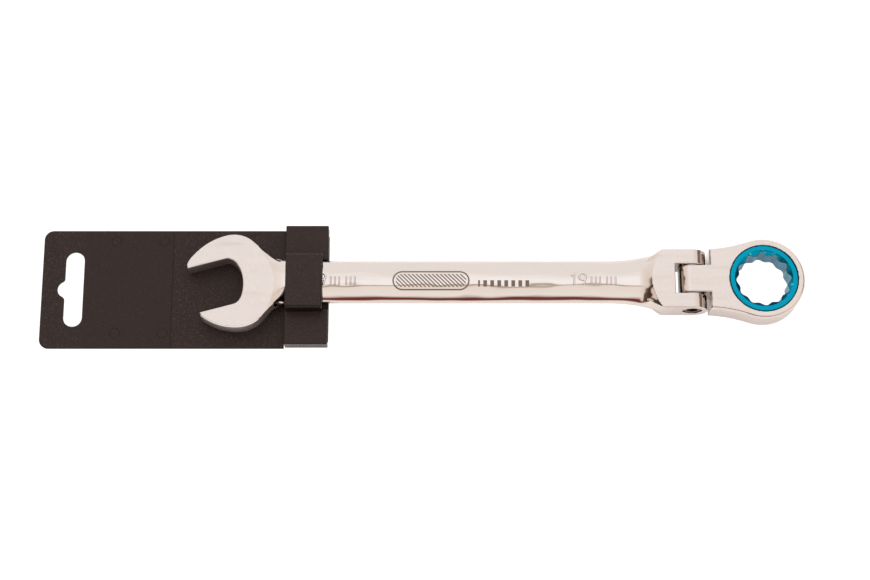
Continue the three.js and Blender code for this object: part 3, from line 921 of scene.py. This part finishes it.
def blue_gear():
    """Blue coated steel: bright on the faces and the lead-in, and painted darker and greyer on
    the bore walls as painted shade.
    """
    n = Nodes("blue_gear")
    x, y, z = n.xyz()
    radius = n.length(n.past(x, RING[0]), n.past(y, RING[1]))
    level = n.size(n.past(z, RING[2]))
    wall = n.times(n.under(radius, 11.2 * MM), n.under(level, 4.4 * MM))
    lead_in = n.under(radius, (MOUTH - 0.05) * MM)
    inside_mouth = n.under(radius, (MOUTH + 0.1) * MM)
    cloud = n.noise(500, 4)
    face = n.mix(cloud, (0.002, 0.25, 0.395), (0.003, 0.315, 0.47))
    # Painted shade: the bore walls get a darker, greyer blue than the faces.
    painted_wall_shade = n.mix(cloud, (0.036, 0.20, 0.31), (0.075, 0.25, 0.37))
    turning = n.noise(1400, 2, stretch=(1, 1, 0.3))
    # Bright cyan specks at random, within the lead-in's outer edge.
    bright_specks = n.times(n.span(n.noise(900, 3), 0.64, 0.68), inside_mouth)
    coat = n.mix(bright_specks, n.mix(wall, face, painted_wall_shade), (0.16, 0.50, 0.58))
    n.set(Base_Color=coat, Metallic=1.0, Normal=n.bump(turning, 0.00002, 0.5))
    n.set(Roughness=n.span(lead_in, 0, 1, n.span(cloud, 0.3, 0.7, 0.24, 0.36), 0.24))
    return n.material


def dark_steel(name, dark, bright, rough):
    n = Nodes(name)
    cloud = n.noise(700, 4)
    n.set(Base_Color=n.mix(cloud, dark, bright), Metallic=1.0)
    n.set(Roughness=n.span(cloud, 0.3, 0.7, rough, rough + 0.12))
    n.set(Normal=n.bump(n.noise(3000, 2), 0.00001, 0.5))
    return n.material


# The plate is smoother between two lines. Its groove is the second, and its ejector marks are
# placed from the groove and from the plate's middle line.
SMOOTH_START = PLATE_LOW[0] + 16.9
GROOVE_X = PLATE_LOW[0] + 52.6
GROOVE_HALF = 0.22
EJECTOR_RADIUS = 2.0
EJECTORS = ((-23.1, 19.9), (-3.8, 20.0), (-22.4, -18.4), (-3.5, -18.4))
PLATE_TINT = (0.0175, 0.0100, 0.0085)
CLIP_TINT = (0.0195, 0.0115, 0.010)


def times_tint(tint, share):
    return tuple(share * c for c in tint)


def moulded_plastic(n, tint, keep=1.0):
    """Black plastic with shinier walls, painted darker than its top faces as painted shade, and
    with so much of its fine grain and light specks.
    """
    top = n.span(n.size(n.facing("True Normal")["Z"]), 0.75, 0.97)
    grain = n.noise(1500, 4, 0.65)
    coarse = n.noise(420, 2)
    depth = n.times(n.plus(grain, n.times(coarse, 0.5)), keep)
    speck = n.times(n.times(n.span(n.noise(3000, 1), 0.62, 0.72), top), keep)
    base = n.mix(coarse, tint, times_tint(tint, 1.25))
    color = n.mix(n.times(speck, 0.42), base, (0.15, 0.125, 0.12))
    # Painted shade: the walls, away from the top faces, are painted at 0.3 of the tint.
    color = n.mix(top, times_tint(tint, 0.3), color)
    normal = n.bump(depth, 0.00011, 0.8)
    grainy = n.span(grain, 0.3, 0.7, 0.5, 0.64)
    n.set(Base_Color=color, Normal=normal, Roughness=n.span(top, 0, 1, 0.22, grainy))
    n.set(Specular_IOR_Level=0.25)
    return color, normal


def clip_plastic():
    n = Nodes("clip_plastic")
    moulded_plastic(n, CLIP_TINT)
    return n.material


def plate_lines(n, x, y):
    """Where the plate's fine cross groove and its four round ejector marks are."""
    lines = n.under(n.size(n.past(x, GROOVE_X)), GROOVE_HALF * MM)
    middle = (PLATE_LOW[1] + PLATE_HIGH[1]) / 2
    for dx, dy in EJECTORS:
        away = n.length(n.past(x, GROOVE_X + dx), n.past(y, middle + dy))
        rim = n.size(n.minus(away, EJECTOR_RADIUS * MM))
        lines = n.most(lines, n.span(rim, 0.1 * MM, 0.3 * MM, 0.5, 0))
    return lines


def plate_plastic():
    n = Nodes("hanger_plastic")
    x, y, _ = n.xyz()
    zone = n.times(n.over(x, float(SMOOTH_START) * MM), n.under(x, float(GROOVE_X) * MM))
    color, normal = moulded_plastic(n, PLATE_TINT, n.span(zone, 0, 1, 1, 0.35))
    lines = plate_lines(n, x, y)
    # Painted shade: the groove and the ejector rings are painted darker.
    n.set(Base_Color=n.mix(n.times(lines, 0.6), color, times_tint(PLATE_TINT, 0.3)))
    n.set(Normal=n.bump(n.minus(1.0, lines), 0.0002, 1.0, normal))
    return n.material


# ------------------------------------------------------------------ pieces

def make_handle():
    steel = handle_chrome()
    screw = dark_steel("screw_steel", (0.06, 0.045, 0.038), (0.13, 0.105, 0.09), 0.3)
    margin = (0.6, 0, 0)
    piece("wrench_forging", wrench_body, BODY_LOW - AXIS - margin, BODY_HIGH - AXIS,
          cell=0.297, origin=AXIS, body="handle",
          nodes=["wrench_body"], material=steel, calm=(EVEN_START, FLARE_START))
    for side, left in zip(("left", "right"), MARK_LEFTS):
        piece("size_mark_" + side, raised_mark, (0, -2.9, 2.8), (18.4, 2.9, 4.2),
              cell=0.12, origin=AXIS + (left, MARK_Y, 0), body="handle",
              nodes=[], material=steel)
    piece("pivot_socket_screw", pivot_screw, (-3.6, -CLEVIS_HALF, -3.6), (3.6, CLEVIS_HALF, 3.6),
          cell=0.22, origin=PIVOT, body="handle",
          nodes=["pivot_screw"], material=screw)


def make_head():
    piece("ratchet_housing", ratchet_head, (-33.5, -16.5, -6), (16.5, 16.5, 6),
          cell=0.34, origin=RING, body="head",
          nodes=["ratchet_head"], material=head_chrome())
    piece("twelve_point_gear", ratchet_gear, (-13.6, -13.6, -6), (13.6, 13.6, 6),
          cell=0.24, origin=RING, body="gear",
          nodes=["ratchet_gear"], material=blue_gear())


def make_hanger():
    plate_mid = np.array([0, (PLATE_LOW[1] + PLATE_HIGH[1]) / 2, 0])
    clip_mid = np.array([0, (CLIP_LOW[1] + CLIP_HIGH[1]) / 2, 0])
    piece("hanger_card", hanger_plate, PLATE_LOW - plate_mid, PLATE_HIGH - plate_mid,
          cell=0.38, origin=plate_mid, body="hanger",
          nodes=["hanger_plate"], material=plate_plastic())
    piece("hanger_saddle", hanger_clip, CLIP_LOW - clip_mid, CLIP_HIGH - clip_mid,
          cell=0.3, origin=clip_mid, body="clip",
          nodes=["hanger_clip"], material=clip_plastic())


def dress_inner_nodes():
    """The pieces inside keep their CAD shapes and get their own finishes."""
    spring = dark_steel("spring_steel", (0.45, 0.45, 0.46), (0.62, 0.62, 0.63), 0.22)
    pawl = dark_steel("pawl_steel", (0.26, 0.25, 0.24), (0.42, 0.41, 0.4), 0.3)
    coil_spring(spring)
    finishes = {"pawl": pawl, "spring_pin": pawl, "gear_retaining_ring": spring,
                "pivot_washer_front": spring, "pivot_washer_rear": spring}
    for name, material in finishes.items():
        node = frame["nodes"][name]
        node.data.materials.clear()
        node.data.materials.append(material)


# ------------------------------------------------------------------ stage, light and camera

def sheet(name, centre, across, up, material):
    """A flat four-sided sheet from its centre and two half-edge vectors."""
    centre, across, up = Vector(centre), Vector(across), Vector(up)
    low, high = centre - up, centre + up
    corners = [low - across, low + across, high + across, high - across]
    mesh = bpy.data.meshes.new(name)
    mesh.from_pydata([tuple(c) for c in corners], [], [(0, 1, 2, 3)])
    mesh.materials.append(material)
    ob = bpy.data.objects.new(name, mesh)
    bpy.context.scene.collection.objects.link(ob)
    return ob


def glowing(name, color, strength, emission):
    n = Nodes(name)
    n.set(Base_Color=color, Roughness=0.8)
    n.set(Emission_Color=emission, Emission_Strength=strength)
    return n.material


# The tent's light round the X axis: degrees from overhead, towards the back, and its colour.
TENT = [(-180, (0.84, 0.84, 0.83)), (-70, (0.84, 0.80, 0.79)), (-62, (0.30, 0.12, 0.10)),
        (-55, (0.16, 0.04, 0.03)), (-42, (0.16, 0.04, 0.03)), (-34, (0.62, 0.56, 0.53)),
        (-27, (0.90, 0.87, 0.83)), (-8, (0.88, 0.82, 0.77)), (1, (0.86, 0.80, 0.75)),
        (3, (0.46, 0.40, 0.33)), (5.8, (0.46, 0.40, 0.33)), (7.2, (1.0, 0.98, 0.98)),
        (14, (1.02, 1.01, 1.02)), (32, (0.87, 0.85, 0.83)), (180, (0.87, 0.85, 0.83))]
# Spots towards the tent's ends: direction, colour, and the cosines where each starts and is full.
TENT_ENDS = [((-1, 0, 0.6), (0.80, 0.70, 0.63), 0.55, 0.95),
             ((1, 0, 0.6), (0.80, 0.70, 0.63), 0.55, 0.95),
             ((-0.97, 0.25, -0.02), (0.36, 0.35, 0.36), 0.95, 0.98),
             ((-0.74, -0.38, 0.56), (0.15, 0.085, 0.055), 0.90, 0.94),
             ((-0.94, -0.20, 0.28), (0.06, 0.04, 0.03), 0.85, 0.92),
             ((-0.97, -0.06, 0.42), (0.70, 0.58, 0.50), 0.988, 0.996),
             ((-0.92, -0.21, 0.31), (0.74, 0.62, 0.54), 0.988, 0.996),
             ((-0.91, -0.37, 0.22), (0.60, 0.46, 0.36), 0.988, 0.996),
             ((0.90, 0.28, 0.25), (0.18, 0.14, 0.12), 0.90, 0.94)]
TENT_STRENGTH = 1.36


def make_tent():
    """A soft white light tent with an overhead seam, a dark strip in front and dimmer ends."""
    world = bpy.data.worlds.new("light_tent")
    bpy.context.scene.world = world
    world.use_nodes = True
    n = Tree(world.node_tree)
    place = n.add("ShaderNodeTexCoord").outputs["Generated"]
    toward = n.split(place)
    turn = n.math("ARCTAN2", toward["Y"], toward["Z"])
    ramp = n.add("ShaderNodeValToRGB")
    stops = ramp.color_ramp.elements
    stops[0].color = (*TENT[0][1], 1)
    stops[1].color = (*TENT[-1][1], 1)
    for degrees, color in TENT[1:-1]:
        stops.new((degrees + 180) / 360).color = (*color, 1)
    n.link(n.span(turn, -math.pi, math.pi), ramp.inputs[0])
    light = ramp.outputs[0]
    for direction, color, start, full in TENT_ENDS:
        near = n.add("ShaderNodeVectorMath", operation="DOT_PRODUCT")
        near.inputs[1].default_value = Vector(direction).normalized()
        n.link(place, near.inputs[0])
        light = n.mix(n.span(near.outputs["Value"], start, full), light, color)
    background = n.tree.nodes["Background"]
    background.inputs["Strength"].default_value = TENT_STRENGTH
    n.link(light, background.inputs["Color"])


def make_stage():
    """A white floor for the camera, and a slightly dimmer one that the object reflects.

    The camera's floor lies low enough to leave the ring in sight when the head hangs down.
    """
    half = 4
    floor = sheet("floor", (0, 0, -0.05), (half, 0, 0), (0, half, 0),
                  glowing("pale_floor", (0.1, 0.1, 0.1), 1.0, (1.0, 0.998, 0.993)))
    floor.visible_glossy = False
    floor.visible_diffuse = False
    below = sheet("floor_light", (0, 0, -0.0003), (half, 0, 0), (0, half, 0),
                  glowing("floor_glow", (0.83, 0.83, 0.83), 0.30, (1.0, 0.98, 0.96)))
    below.visible_camera = False


def make_lights():
    light = bpy.data.lights.new("softbox", "AREA")
    light.size = 1.2
    light.energy = 9
    ob = bpy.data.objects.new("softbox", light)
    ob.location = (-0.5, 0.5, 1.4)
    ob.rotation_mode = "QUATERNION"
    ob.rotation_quaternion = (-ob.location).to_track_quat("-Z", "Y")
    bpy.context.scene.collection.objects.link(ob)
    ob.visible_glossy = False


def make_camera():
    """An 80 mm lens 78 cm away, 16.4 degrees from overhead."""
    tilt = math.radians(16.4)
    distance = 0.78
    target = Vector((0.0055, -0.00035, 0))
    camera = bpy.data.objects.new("camera", bpy.data.cameras.new("camera"))
    camera.data.lens = 80
    camera.data.sensor_width = 36
    camera.location = target + distance * Vector((0, -math.sin(tilt), math.cos(tilt)))
    camera.rotation_euler = (tilt, 0, 0)
    bpy.context.scene.collection.objects.link(camera)
    bpy.context.scene.camera = camera
    bpy.context.scene.view_settings.view_transform = "Standard"


make_camera()
make_lights()
make_tent()
make_stage()
make_handle()
make_head()
make_hanger()
dress_inner_nodes()

bpy.context.view_layer.update()
